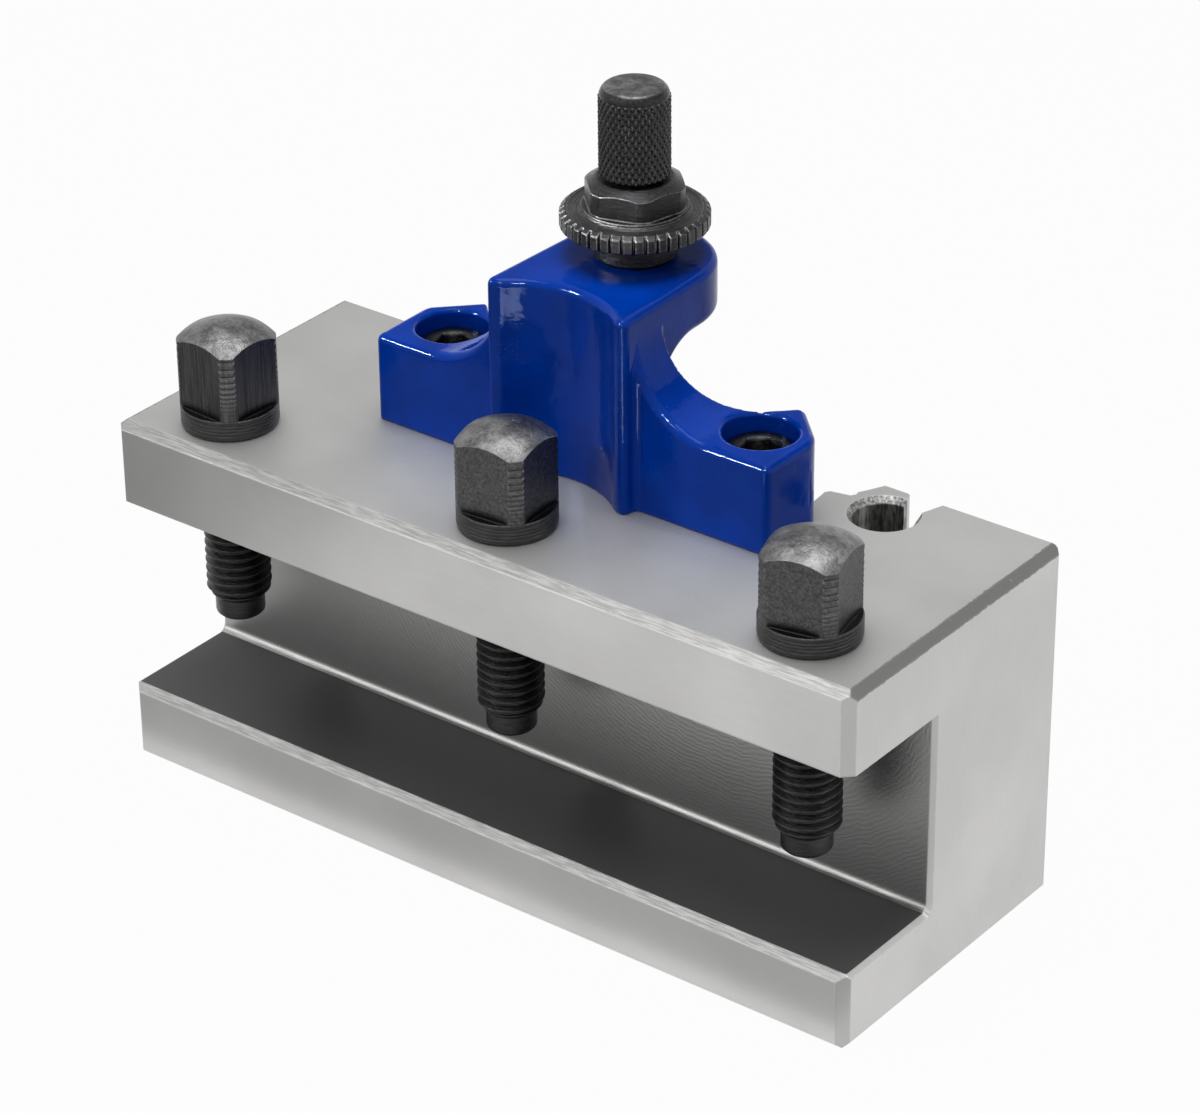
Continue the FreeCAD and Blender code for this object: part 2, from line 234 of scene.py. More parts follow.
def polygon_radius(angles, across, sides, turn):
    """Distance from the axis to a regular polygon's side, at each angle: half across / cos of the rest."""
    pitch = 2 * math.pi / sides
    rest = (angles - turn + pitch / 2) % pitch - pitch / 2
    return across / 2 / np.cos(rest)


def corner_angles(sides, turn, strip, per_side):
    """Angles round a polygon, close together where its sides meet the turned corner strips."""
    half = math.pi / sides
    edge = half - strip
    inner = edge * np.sin(np.linspace(-1, 1, per_side) * math.pi / 2)
    strip_inner = np.linspace(edge + 0.02, 2 * half - edge - 0.02, 5)
    one = np.concatenate([inner, strip_inner])
    return np.sort((np.arange(sides)[:, None] * 2 * half + one[None, :] + turn).ravel() % (2 * math.pi))


def thread_radius(angles, heights, pitch, major, minor):
    """A right-hand thread: the radius swings between crest and root with the height less the turn's share."""
    phase = (heights[:, None] / pitch - angles[None, :] / (2 * math.pi)) % 1
    away = np.abs(phase * 2 - 1)
    return minor + (major - minor) * np.clip((away - 0.10) / 0.80, 0, 1)


def surface_nets(field, low, high, step):
    """The surface where a field is zero. Each grid cell that it crosses gets one vertex, at the mean of the
    crossings on its edges, then moved onto the surface along the field's slope."""
    axes = [np.arange(low[i], high[i] + step, step) for i in range(3)]
    values = field(*np.meshgrid(*axes, indexing="ij"))
    inside = values < 0
    cells = tuple(n - 1 for n in values.shape)
    total = np.zeros(cells + (3,))
    count = np.zeros(cells)
    for axis in range(3):
        others = [i for i in range(3) if i != axis]
        for first in (0, 1):
            for second in (0, 1):
                start = np.zeros(3, int)
                start[others[0]], start[others[1]] = first, second
                stop = start.copy()
                stop[axis] = 1
                a = values[tuple(slice(s, s + n) for s, n in zip(start, cells))]
                b = values[tuple(slice(s, s + n) for s, n in zip(stop, cells))]
                crosses = (a < 0) != (b < 0)
                share = np.where(crosses, a / np.where(crosses, a - b, 1), 0)
                point = start + share[..., None] * (stop - start)
                total += np.where(crosses[..., None], point, 0)
                count += crosses
    used = count > 0
    number = np.full(cells, -1)
    number[used] = np.arange(used.sum())
    points = np.array(low) + step * (np.argwhere(used) + total[used] / count[used][:, None])
    points, normals = settle(field, points, step)
    quads = []
    for axis in range(3):
        u, v = (axis + 1) % 3, (axis + 2) % 3
        window = [slice(1, -1)] * 3
        window[axis] = slice(0, -1)
        ahead = list(window)
        ahead[axis] = slice(1, None)
        here, there = inside[tuple(window)], inside[tuple(ahead)]
        place = np.argwhere(here != there)
        outward = here[here != there]
        place[:, u] += 1
        place[:, v] += 1
        around = []
        for du, dv in ((1, 1), (0, 1), (0, 0), (1, 0)):
            cell = place.copy()
            cell[:, u] -= du
            cell[:, v] -= dv
            around.append(number[cell[:, 0], cell[:, 1], cell[:, 2]])
        faces = np.stack(around, axis=-1)
        quads.append(np.where(outward[:, None], faces, faces[:, ::-1]))
    return points, np.concatenate(quads), normals


def settle(field, points, step):
    """Points moved onto the field's zero, and the slope's direction there."""
    reach = 0.02
    for _ in range(4):
        slope = np.stack([field(*(points + shift).T) - field(*(points - shift).T)
                          for shift in np.eye(3) * reach], axis=-1) / (2 * reach)
        value = field(*points.T)
        move = value[:, None] * slope / np.maximum((slope ** 2).sum(axis=1), 0.2)[:, None]
        points = points - np.clip(move, -step / 2, step / 2)
    return points, slope / np.maximum(np.linalg.norm(slope, axis=1), 1e-6)[:, None]


def meet(a, b, radius):
    """Where both solids are, with the edge between them rounded."""
    return (np.minimum(-radius, np.maximum(a, b))
            + np.hypot(np.maximum(radius + a, 0), np.maximum(radius + b, 0)))


def join(a, b, radius):
    """Where either solid is, with the inner corner between them filled to a radius."""
    return (np.maximum(radius, np.minimum(a, b))
            - np.hypot(np.maximum(radius - a, 0), np.maximum(radius - b, 0)))


# Materials


class Nodes:
    """A node tree that is filled one node at a time. An input is given by its name, with underscores for
    spaces, or by its place, as i0 or i1."""

    def __init__(self, tree):
        self.tree = tree

    def add(self, kind, settings=None, **inputs):
        node = self.tree.nodes.new(kind)
        for key, value in (settings or {}).items():
            setattr(node, key, value)
        self.feed(node, **inputs)
        return node

    def feed(self, node, **inputs):
        for key, value in inputs.items():
            socket = node.inputs[int(key[1:]) if key[0] == "i" else key.replace("_", " ")]
            if isinstance(value, bpy.types.NodeSocket):
                self.tree.links.new(value, socket)
            else:
                socket.default_value = value

    def math(self, operation, *values, clamp=False):
        inputs = {f"i{place}": value for place, value in enumerate(values)}
        return self.add("ShaderNodeMath", {"operation": operation, "use_clamp": clamp}, **inputs).outputs[0]

    def blend(self, share, first, second):
        """A colour between two."""
        return self.add("ShaderNodeMix", {"data_type": "RGBA"}, i0=share, i6=first, i7=second).outputs[2]

    def mix(self, share, first, second):
        """A value between two."""
        return self.add("ShaderNodeMix", {"data_type": "FLOAT"}, i0=share, i2=first, i3=second).outputs[0]

    def ramp(self, value, low, high, to_low=0.0, to_high=1.0):
        return self.add("ShaderNodeMapRange", {"interpolation_type": "SMOOTHSTEP"}, Value=value, From_Min=low,
                        From_Max=high, To_Min=to_low, To_Max=to_high).outputs[0]

    def noise(self, vector, scale, detail=3.0, roughness=0.55):
        node = self.add("ShaderNodeTexNoise", Vector=vector, Scale=scale, Detail=detail, Roughness=roughness)
        return node.outputs["Fac"]

    def stretched(self, vector, scale):
        """The vector with each axis scaled by itself."""
        return self.add("ShaderNodeMapping", Vector=vector, Scale=scale).outputs[0]

    def parts(self, vector):
        return self.add("ShaderNodeSeparateXYZ", Vector=vector).outputs

    def times(self, first, second):
        return self.math("MULTIPLY", first, second)

    def hypot(self, first, second):
        return self.math("SQRT", self.math("ADD", self.times(first, first), self.times(second, second)))

    def vector(self, operation, first, second):
        """The outputs of a vector sum of two inputs."""
        return self.add("ShaderNodeVectorMath", {"operation": operation}, i0=first, i1=second).outputs


def node_group(name, inputs, outputs):
    """A new shader group and its filler; sockets are (name, socket type, default)."""
    tree = bpy.data.node_groups.new(name, "ShaderNodeTree")
    for label, kind, value in inputs:
        socket = tree.interface.new_socket(label, in_out="INPUT", socket_type=kind)
        if value is not None:
            socket.default_value = value
    for label, kind in outputs:
        tree.interface.new_socket(label, in_out="OUTPUT", socket_type=kind)
    nodes = Nodes(tree)
    return tree, nodes, nodes.add("NodeGroupInput").outputs, nodes.add("NodeGroupOutput")


def edge_wear_and_highlight_group():
    """How much an edge is worn and given a painted highlight: the angle between the rounded and the plain
    normal, broken up by noise.
    """
    tree, nodes, source, result = node_group(
        "Edge wear", [("Radius", "NodeSocketFloat", 0.0004), ("Amount", "NodeSocketFloat", 1.0)],
        [("Mask", "NodeSocketFloat"), ("Normal", "NodeSocketVector")])
    bevel = nodes.add("ShaderNodeBevel", {"samples": 4}, Radius=source["Radius"])
    plain = nodes.add("ShaderNodeNewGeometry").outputs["Normal"]
    turned = nodes.vector("DOT_PRODUCT", bevel.outputs[0], plain)["Value"]
    place = nodes.add("ShaderNodeTexCoord").outputs["Object"]
    broken = nodes.ramp(nodes.noise(place, 900.0, 4.0, 0.7), 0.3, 0.7, 0.35, 1.0)
    bent = nodes.ramp(turned, 0.90, 0.998, 1.0, 0.0)
    worn_and_highlight = nodes.math("MULTIPLY", nodes.times(bent, broken), source["Amount"], clamp=True)
    nodes.feed(result, Mask=worn_and_highlight, Normal=bevel.outputs[0])
    return tree


def grain_group():
    """Fine grinding lines: noise drawn out along one axis, and patches that vary it."""
    tree, nodes, source, result = node_group(
        "Grinding lines", [("Scale", "NodeSocketVector", (100.0, 100.0, 100.0))],
        [("Lines", "NodeSocketFloat"), ("Patches", "NodeSocketFloat")])
    place = nodes.add("ShaderNodeTexCoord").outputs["Object"]
    lines = nodes.noise(nodes.vector("MULTIPLY", place, source["Scale"])[0], 1.0, 5.0, 0.65)
    patches = nodes.noise(place, 38.0, 3.0, 0.5)
    nodes.feed(result, Lines=lines, Patches=patches)
    return tree


GROUPS = {}


def shared(name, maker):
    """A shader group, made once."""
    if name not in GROUPS:
        GROUPS[name] = maker()
    return GROUPS[name]


def use_group(nodes, tree, **inputs):
    return nodes.add("ShaderNodeGroup", {"node_tree": tree}, **inputs).outputs


def new_material(name):
    """A material with its filler, its surface shader and its object coordinates."""
    material = bpy.data.materials.new(name)
    material.use_nodes = True
    material.node_tree.nodes.clear()
    nodes = Nodes(material.node_tree)
    shader = nodes.add("ShaderNodeBsdfPrincipled")
    nodes.add("ShaderNodeOutputMaterial", Surface=shader.outputs[0])
    return material, nodes, shader, nodes.add("ShaderNodeTexCoord").outputs


def rgba(value):
    return tuple(value) + (1.0,)


def scaled_colour(value, share):
    return tuple(min(channel * share, 1.0) for channel in value) + (1.0,)


def steel_arcs(nodes, point, wall):
    """Milling arcs on the slot's wall: waves of the distance from a centre, wavering a little."""
    centre = tuple(value / 1000 for value in ARC_CENTRE)
    flat = nodes.stretched(nodes.vector("SUBTRACT", point, centre)[0], (1.0, 0.0, 1.0))
    distance = nodes.add("ShaderNodeVectorMath", {"operation": "LENGTH"}, i0=flat).outputs["Value"]
    wobble = nodes.times(nodes.noise(point, 300.0), 0.0022)
    reach = nodes.math("ADD", distance, wobble)
    arcs = nodes.math("SINE", nodes.times(reach, 8500.0))
    return nodes.times(nodes.math("MULTIPLY_ADD", arcs, 0.5, 0.5), wall)


def steel_material(settings):
    """Ground steel: a fine satin on the top, lines on the faces, milling arcs on the slot's wall, hand-filed
    end edges and darker, streaked hook channels. Painted shade darkens the top faces, the corner and front
    chamfers, the slot's wall and its floor; the edges are lightened by wear and a painted highlight."""
    material, nodes, shader, coordinates = new_material("ground_steel")

    def steel(share):
        return scaled_colour(settings.steel, share)

    point = coordinates["Object"]
    place = nodes.parts(point)
    normal = nodes.parts(nodes.add("ShaderNodeNewGeometry").outputs["Normal"])
    wear_and_highlight = use_group(nodes, shared("wear_and_highlight", edge_wear_and_highlight_group), Radius=0.0004, Amount=0.8)

    # Where each finish and each painted shade is
    up = nodes.ramp(normal["Z"], 0.93, 0.985)
    sideways = nodes.ramp(nodes.math("ABSOLUTE", normal["X"]), 0.85, 0.97)
    forward = nodes.ramp(nodes.times(normal["Y"], -1.0), 0.85, 0.97)
    low = nodes.ramp(place["Z"], (LOWER_JAW + 1.2) / 1000, (LOWER_JAW + 0.4) / 1000)
    inner = nodes.ramp(place["Y"], (SLOT_BACK - 1.15) / 1000, (SLOT_BACK - 0.35) / 1000)
    wall = nodes.times(forward, inner)
    sideways = nodes.ramp(nodes.math("ABSOLUTE", normal["X"]), 0.5, 0.6)
    edge = nodes.times(sideways, nodes.ramp(normal["Y"], -0.5, -0.6))
    slant = nodes.times(nodes.ramp(normal["Y"], -0.25, -0.40), nodes.ramp(normal["Z"], 0.50, 0.60))

    # Grain and milling arcs
    level = use_group(nodes, shared("grain", grain_group), Scale=(260.0, 5200.0, 5200.0))
    upright = use_group(nodes, shared("grain", grain_group), Scale=(5200.0, 3800.0, 240.0))
    satin = nodes.noise(point, 3600.0, 3.0, 0.6)
    lines = nodes.mix(up, nodes.mix(sideways, level["Lines"], upright["Lines"]), satin)
    arcs = steel_arcs(nodes, point, wall)
    shade = nodes.math("ADD", nodes.times(lines, 0.16), nodes.times(arcs, 0.14))
    patch = nodes.ramp(level["Patches"], 0.3, 0.7)
    plain = nodes.blend(patch, steel(0.93), steel(1.05))
    # Painted shade: faces that look up get a darker steel than the sides
    plain = nodes.blend(up, plain, nodes.blend(patch, steel(0.70), steel(0.80)))
    base = nodes.blend(shade, plain, steel(0.45))

    # Painted shade on the chamfers, the slot's wall and floor, edges lightened by wear and painted highlight,
    # and the filed ends
    # Painted shade: the vertical corner chamfers are darkened
    base = nodes.blend(nodes.times(edge, 0.35), base, steel(0.5))
    # Painted shade: the front chamfer is darkened, broken up by the grinding lines
    chamfer_shade = nodes.ramp(level["Lines"], 0.40, 0.62, 0.75, 0.35)
    base = nodes.blend(nodes.times(slant, chamfer_shade), base, steel(0.30))
    # Edges lightened: partly worn steel, partly a painted highlight
    base = nodes.blend(nodes.times(wear_and_highlight["Mask"], 0.6), base, steel(1.4))
    # Painted shade: the slot's wall is darkened
    base = nodes.blend(nodes.times(wall, 0.8), base, steel(0.58))
    # Painted shade: the slot's floor under the jaw is darkened
    base = nodes.blend(nodes.times(nodes.times(up, low), 0.93), base, rgba(settings.slot_floor_shade))
    coarse = nodes.noise(point, 1300.0, 4.0, 0.7)
    reach = nodes.math("ADD", nodes.math("ABSOLUTE", place["X"]), place["Z"])
    from_end = nodes.math("SUBTRACT", (BLOCK_HIGH[0] + BLOCK_TOP) / 1000, reach)
    ragged = nodes.math("MULTIPLY_ADD", nodes.math("SUBTRACT", coarse, 0.5), 0.0009, from_end)
    filed = nodes.ramp(ragged, END_CHAMFER / 1000, (END_CHAMFER - 0.1) / 1000)
    base = nodes.blend(nodes.times(filed, 0.85), base, steel(0.34))

    # Hook channels: darker, with streaks and bumps
    beside = nodes.math("SUBTRACT", nodes.math("ABSOLUTE", place["X"]), CHANNEL_X / 1000)
    behind = nodes.math("SUBTRACT", place["Y"], CHANNEL_Y / 1000)
    near = nodes.ramp(nodes.hypot(beside, behind), CHANNEL_RIM / 1000, (CHANNEL_RIM - 0.15) / 1000)
    channel = nodes.times(near, nodes.ramp(normal["Z"], 0.90, 0.80))
    streak = nodes.ramp(nodes.noise(nodes.stretched(point, (2600.0, 2600.0, 500.0)), 1.0), 0.35, 0.65)
    base = nodes.blend(nodes.times(channel, 0.9), base, nodes.blend(streak, steel(0.14), steel(0.62)))

    rough = nodes.math("MULTIPLY_ADD", lines, 0.16, nodes.math("MULTIPLY_ADD", up, 0.20, 0.31))
    height = nodes.math("ADD", lines, nodes.math("ADD", arcs, nodes.times(channel, streak)))
    bump = nodes.add("ShaderNodeBump", Strength=0.14, Distance=0.00006, Height=height, Normal=wear_and_highlight["Normal"])
    nodes.feed(shader, Base_Color=base, Roughness=rough, Metallic=1.0, Normal=bump.outputs[0])
    return material


def enamel_material(settings):
    """Thick glossy enamel with a slightly uneven skin and patches of fine pale specks, partly scuffs and
    partly painted glints.
    """
    material, nodes, shader, coordinates = new_material("blue_enamel")
    point = coordinates["Object"]
    skin = nodes.noise(point, 850.0, 3.0, 0.55)
    broad = nodes.noise(point, 120.0, 2.0, 0.5)
    tone = nodes.ramp(broad, 0.3, 0.7)
    base = nodes.blend(tone, scaled_colour(settings.enamel, 0.85), scaled_colour(settings.enamel, 1.10))
    # Pale specks in patches: partly scuffs, partly painted glints
    specks = nodes.ramp(nodes.noise(point, 2300.0, 3.0, 0.6), 0.60, 0.70)
    rubbed_and_glinting = nodes.ramp(nodes.noise(point, 75.0, 2.0, 0.5), 0.56, 0.72)
    scuffs_and_glints = nodes.times(specks, rubbed_and_glinting)
    base = nodes.blend(nodes.times(scuffs_and_glints, 0.3), base, (0.16, 0.24, 0.46, 1.0))
    rough = nodes.math("MULTIPLY_ADD", scuffs_and_glints, 0.3, nodes.ramp(skin, 0.3, 0.75, 0.06, 0.14))
    height = nodes.math("ADD", nodes.times(skin, 0.22), broad)
    bump = nodes.add("ShaderNodeBump", Strength=0.35, Distance=0.0005, Height=height).outputs[0]
    nodes.feed(shader, Base_Color=base, Roughness=rough, IOR=1.16, Specular_Tint=(0.08, 0.40, 1.0, 1.0),
               Coat_Weight=0.12, Coat_Roughness=0.03, Normal=bump, Coat_Normal=bump)
    return material


def oxide_material(name, settings, lines, wear_amount, crown=None, pitted=False):
    """Black oxide on turned steel: rings round the axis, fine patches, and edges lightened by rubbing and a
    painted highlight. A crown is lightened to grey above a height where one is given, partly worn and partly
    a painted highlight, and flats are pitted between it and the collar below, where painted shade darkens the
    corner and the collar."""
    material, nodes, shader, coordinates = new_material(name)
    point = coordinates["Object"]
    place = nodes.parts(point)
    wear_and_highlight = use_group(nodes, shared("wear_and_highlight", edge_wear_and_highlight_group), Radius=0.00022, Amount=wear_amount)
    rings = use_group(nodes, shared("grain", grain_group), Scale=lines)["Lines"]
    speckle = nodes.noise(point, 1900.0, 3.0, 0.7)
    foot = (BLOCK_TOP + COLLAR_HEIGHT) / 1000
    if pitted:
        marks = nodes.noise(nodes.stretched(point, (2600.0, 2600.0, 90.0)), 1.0, 4.0, 0.6)
        pits = nodes.noise(point, 2100.0, 4.0, 0.7)
        grain = nodes.mix(nodes.ramp(place["X"], -0.031, -0.029), marks, pits)
        head = nodes.ramp(place["Z"], foot - 0.0002, foot)
        rings = nodes.mix(head, rings, grain)
    tone = nodes.ramp(rings, 0.30, 0.70)
    base = nodes.blend(tone, scaled_colour(settings.oxide, 0.6), scaled_colour(settings.oxide, 1.6))
    if pitted:
        # Painted shade: the flats' corner just above the collar, and the collar's face, darkened almost to
        # black
        side = nodes.math("ABSOLUTE", place["X"])
        from_outer = nodes.math("ABSOLUTE", nodes.math("SUBTRACT", side, CLAMP_X / 1000))
        beside = nodes.math("MINIMUM", side, from_outer)
        behind = nodes.math("SUBTRACT", place["Y"], CLAMP_Y / 1000)
        inside = nodes.ramp(nodes.hypot(beside, behind), 0.0073, 0.0070)
        corner = nodes.times(nodes.ramp(place["Z"], foot + 0.0015, foot + 0.0001), inside)
        collar = nodes.ramp(place["Z"], foot, foot - 0.0002, 0.0, 0.5)
        dark = nodes.math("MAXIMUM", nodes.times(corner, head), collar)
        base = nodes.blend(dark, base, scaled_colour(settings.oxide, 0.12))
    # Edges lightened to grey: partly rubbed oxide, partly a painted highlight
    rubbed_and_glinting = nodes.times(wear_and_highlight["Mask"], nodes.ramp(speckle, 0.35, 0.65, 0.3, 1.0))
    if pitted:
        rubbed_and_glinting = nodes.times(rubbed_and_glinting, nodes.ramp(place["Z"], foot + 0.0015, foot + 0.0025))
    base = nodes.blend(rubbed_and_glinting, base, (0.34, 0.335, 0.33, 1.0))
    if crown is not None:
        # The crown's upward faces are lightened to grey: partly wear, partly a painted highlight
        up = nodes.ramp(nodes.parts(coordinates["Normal"])["Z"], 0.66, 0.92)
        patch = nodes.ramp(nodes.noise(point, 330.0, 5.0, 0.65), 0.36, 0.62, 0.12, 1.0)
        above = nodes.ramp(place["Z"], crown, crown + 0.001)
        worn_and_highlight = nodes.times(nodes.times(up, patch), above)
        worn_and_highlight = nodes.times(worn_and_highlight, nodes.ramp(speckle, 0.3, 0.6, 0.35, 1.0))
        base = nodes.blend(nodes.times(worn_and_highlight, 0.8), base, (0.27, 0.268, 0.263, 1.0))
    rough = nodes.math("ADD", nodes.ramp(speckle, 0.3, 0.7, 0.22, 0.40), nodes.times(rings, 0.10))
    if pitted:
        rough = nodes.math("MULTIPLY_ADD", head, 0.06, rough)
    height = nodes.math("ADD", rings, nodes.times(speckle, 0.4))
    bump = nodes.add("ShaderNodeBump", Strength=0.5, Distance=0.00016, Height=height,
                     Normal=wear_and_highlight["Normal"]).outputs[0]
    nodes.feed(shader, Base_Color=base, Roughness=rough, Metallic=1.0, Coat_Weight=0.25, Coat_Roughness=0.16,
               Normal=bump, Coat_Normal=bump)
    return material


# Operators


class HOLDER_OT_block(bpy.types.Operator):
    """Give the milled block its ground finish"""

    bl_idname = "holder.block"
    bl_label = "Finish the block"

    def execute(self, context):
        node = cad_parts["holder_body"]
        material = steel_material(context.scene.holder_block)
        for slot in node.material_slots:
            slot.material = material
        return {"FINISHED"}


def bracket_field(settings):
    """The casting as a field that is negative inside, built from planes and cylinders that meet with
    rounded edges and join with filled corners."""
    top = BRACKET_HIGH[2]
    ear_top = millimetres(CAPS[0])[1][2] + 2.5
    half_length = BRACKET_HIGH[0]
    post_y = STEM_Y + 27.4
    nose_front = BRACKET_LOW[1]
    front = nose_front + 2.4
    clamp_y = sum(millimetres(CLAMPS[1])[side][1] for side in (0, 1)) / 2
    side_end = front + 12.0
    half_width, end_radius, rear_radius = 12.7, 12.0, 39.15
    overhang = top - 8.6
    wrench = math.hypot(half_width - 1.91, nose_front - clamp_y)
    cap_low, cap_high = millimetres(CAPS[1])
    cap_x, cap_y = (cap_low[:2] + cap_high[:2]) / 2
    cap_seat = cap_high[2] - 6.0
    counterbore, bore = 5.5, 4.05
    reach = STEM_Y - nose_front
    turn = math.acos(end_radius / math.hypot(half_width, reach)) - math.atan2(reach, half_width)
    edge = settings.edge_round * 1000
    root = settings.root_round * 1000
    ramp = settings.ramp_round * 1000
    sharp, lip, nose_round, wrench_round, rear_round, under_round = 0.3, 0.8, 1.2, 0.9, 1.6, 8.0

    def field(x, y, z):
        across = np.abs(x)
        back = y - STEM_Y
        along = -across * math.sin(turn) + back * math.cos(turn)
        flat_side = across * math.cos(turn) + back * math.sin(turn) - end_radius
        side = np.where(along > 0, np.hypot(across, back) - end_radius, flat_side)
        post = np.hypot(x, y - post_y)
        from_wrench = wrench - np.hypot(x, y - clamp_y)
        nose = nose_front - y
        plan = meet(join(front - y, flat_side, root), nose, nose_round)
        plan = meet(plan, across - half_length, 1.1)
        plan = meet(plan, (across - half_length + y - side_end) / math.sqrt(2), 1.3)
        plan = meet(plan, from_wrench, wrench_round)
        profile = join(flat_side, z - ear_top, ramp)
        rear = meet(meet(plan, rear_radius - post, rear_round), profile, 0.35)
        ears = np.maximum(meet(plan, profile, edge), rear)
        ears = meet(ears, z - top, edge)
        tower = meet(meet(side, nose, nose_round), from_wrench, wrench_round)
        tower = meet(tower, z - top, edge)
        space = meet(post - rear_radius, z - overhang, under_round)
        tower = meet(tower, -space, 1.4)
        body = np.minimum(ears, tower)
        sunk = np.maximum(np.hypot(across - cap_x, y - cap_y) - counterbore, cap_seat - z)
        body = meet(body, -sunk, lip)
        body = np.maximum(body, bore - np.hypot(x, back))
        return meet(body, BLOCK_TOP - z, sharp)

    return field


class HOLDER_OT_bracket(bpy.types.Operator):
    """Cast the enamelled bracket with its rounded edges"""

    bl_idname = "holder.bracket"
    bl_label = "Cast the bracket"

    def execute(self, context):
        settings = context.scene.holder_bracket
        step = settings.step * 1000
        points, quads, normals = surface_nets(bracket_field(settings), BRACKET_LOW - 2 * step,
                                              BRACKET_HIGH + 2 * step, step)
        piece = put_mesh("bracket_casting", points, quads, np.zeros((0, 3), int), enamel_material(settings),
                         normals=normals)
        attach(piece, "holder")
        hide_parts("adjuster_bracket")
        return {"FINISHED"}


def crowned(radius, corner_top, crown, collar):
    """Height of the crowned top at a distance from the axis: a sphere's cap over the collar's radius."""
    return corner_top + np.sqrt(crown ** 2 - radius ** 2) - math.sqrt(crown ** 2 - collar ** 2)


def clamp_tip(tip, angles, pitch):
    """Rows of the dog point and the thread above it, up to where the shank is hidden in the jaw."""
    dog, thread, root = 3.8, 5.0, 4.06
    rows = [(0.8, tip), (dog - 0.9, tip), (dog - 0.45, tip + 0.08), (dog - 0.08, tip + 0.45),
            (dog, tip + 0.75), (dog, tip + 2.9)]
    heights = np.arange(tip + 3.0, BLOCK_TOP - 12.2, pitch / 20)
    bevel = dog + np.maximum(heights - tip - 3.3, 0)[:, None]
    threads = thread_radius(angles, heights, pitch, thread, root)
    return rows + list(zip(soft_min(threads, bevel, 0.12), heights))


def clamp_screw(node, turn, settings):
    """A square-head screw, one surface of rows round its axis from the tip to the crown's pole. The square's
    corners are strips of the collar's radius, ridged where they were turned."""
    low, high = millimetres(node)
    x, y = (low[:2] + high[:2]) / 2
    collar = settings.collar_radius * 1000
    crown = settings.crown_radius * 1000
    across = settings.across_flats * 1000
    shank, crown_flat = 4.95, 3.0
    strip = math.radians(45) - math.acos(across / 2 / collar)
    turn = math.radians(turn)
    angles = corner_angles(4, turn, strip, 27)
    square = soft_min(polygon_radius(angles, across, 4, turn), collar, 0.03)
    corner_top = high[2] - float(crowned(crown_flat, 0.0, crown, collar))
    rim = crowned(square, corner_top, crown, collar)
    foot = BLOCK_TOP + COLLAR_HEIGHT
    rows = clamp_tip(low[2], angles, settings.pitch * 1000)
    rows += [(shank, BLOCK_TOP - 12.0), (shank, BLOCK_TOP), (collar - 0.55, BLOCK_TOP),
             (collar - 0.2, BLOCK_TOP + 0.12)]
    for height in np.arange(0.45, 3.1, 0.09):
        rows.append((collar - 0.05 - 0.05 * math.cos(2 * math.pi * height / 0.54), BLOCK_TOP + height))
    rows += [(collar, foot - 0.20), (collar - 0.04, foot - 0.06), (collar - 0.14, foot),
             (np.minimum(square + 0.05, collar - 0.16), foot - 0.10),
             (np.minimum(square, collar - 0.10), foot - 0.02),
             (np.minimum(square, collar - 0.03), foot + 0.10), (square, foot + 0.25)]
    strips = np.clip((square - (collar - 0.10)) / 0.06, 0, 1)
    for share in np.linspace(0.01, 1.0, 110):
        height = foot + 0.25 + share * (rim - 0.05 - foot - 0.25)
        ridge = np.abs((height - foot) / (0.50 + 0.34 * share) % 1 - 0.5) * 2
        depth = 0.24 * strips * np.clip(1.6 * ridge - 0.6, 0, 1) * np.clip(share * 2.5, 0.15, 1)
        rows.append((square - depth, height))
    rows += [(square, rim)]
    for share in np.linspace(0.94, 0.06, 15):
        rows.append((square * share, crowned(square * share, corner_top, crown, collar)))
    return capped_mesh(turned_grid(rows, angles, x, y))


class HOLDER_OT_clamps(bpy.types.Operator):
    """Turn the three square-head clamp screws"""

    bl_idname = "holder.clamps"
    bl_label = "Turn the clamp screws"

    def execute(self, context):
        settings = context.scene.holder_clamps
        material = oxide_material("black_oxide_head", settings, (500.0, 500.0, 7000.0), 0.9,
                                  crown=(BLOCK_TOP + 10.0) / 1000, pitted=True)
        bodies = ("clamp_left", "clamp_middle", "clamp_right")
        for node, body, turn in zip(CLAMPS, bodies, (-3.6, 4.4, 11.5)):
            vertices, quads, triangles = clamp_screw(node, turn, settings)
            piece = put_mesh(f"{node}_turned", vertices, quads, triangles, material, sharp_angle=30)
            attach(piece, body)
            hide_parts(node)
        return {"FINISHED"}


def cap_screw(node):
    """A socket-head screw: rows from its tip up the shank and head, then down into the hexagon socket."""
    low, high = millimetres(node)
    x, y = (low[:2] + high[:2]) / 2
    shank, head, head_height = 3.0, 5.0, 6.0
    angles = np.linspace(0, 2 * math.pi, 120, endpoint=False)
    socket = soft_min(polygon_radius(angles, 5.0, 6, math.radians(12)), 2.85, 0.05)
    tip, top = low[2], high[2]
    seat = top - head_height
    rows = [(0.5, tip), (shank - 0.5, tip), (shank, tip + 0.5), (shank, seat), (head - 0.2, seat),
            (head, seat + 0.2), (head, top - 0.6), (head - 0.05, top - 0.35), (head - 0.2, top - 0.12),
            (head - 0.45, top), (3.25, top), (3.05, top - 0.06),
            (np.maximum(socket + 0.12, 2.75), top - 0.25), (socket, top - 0.5), (socket, top - 2.6),
            (socket - 0.15, top - 2.8), (1.6, top - 3.0), (0.4, top - 3.4)]
    return capped_mesh(turned_grid(rows, angles, x, y))


class HOLDER_OT_caps(bpy.types.Operator):
    """Turn the two socket-head screws that hold the bracket"""

    bl_idname = "holder.caps"
    bl_label = "Turn the cap screws"

    def execute(self, context):
        settings = context.scene.holder_adjuster
        material = oxide_material("black_oxide_cap", settings, (2500.0, 2500.0, 2500.0), 1.0)
        for node in CAPS:
            vertices, quads, triangles = cap_screw(node)
            piece = put_mesh(f"{node}_turned", vertices, quads, triangles, material, sharp_angle=45)
            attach(piece, "holder")
            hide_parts(node)
        return {"FINISHED"}


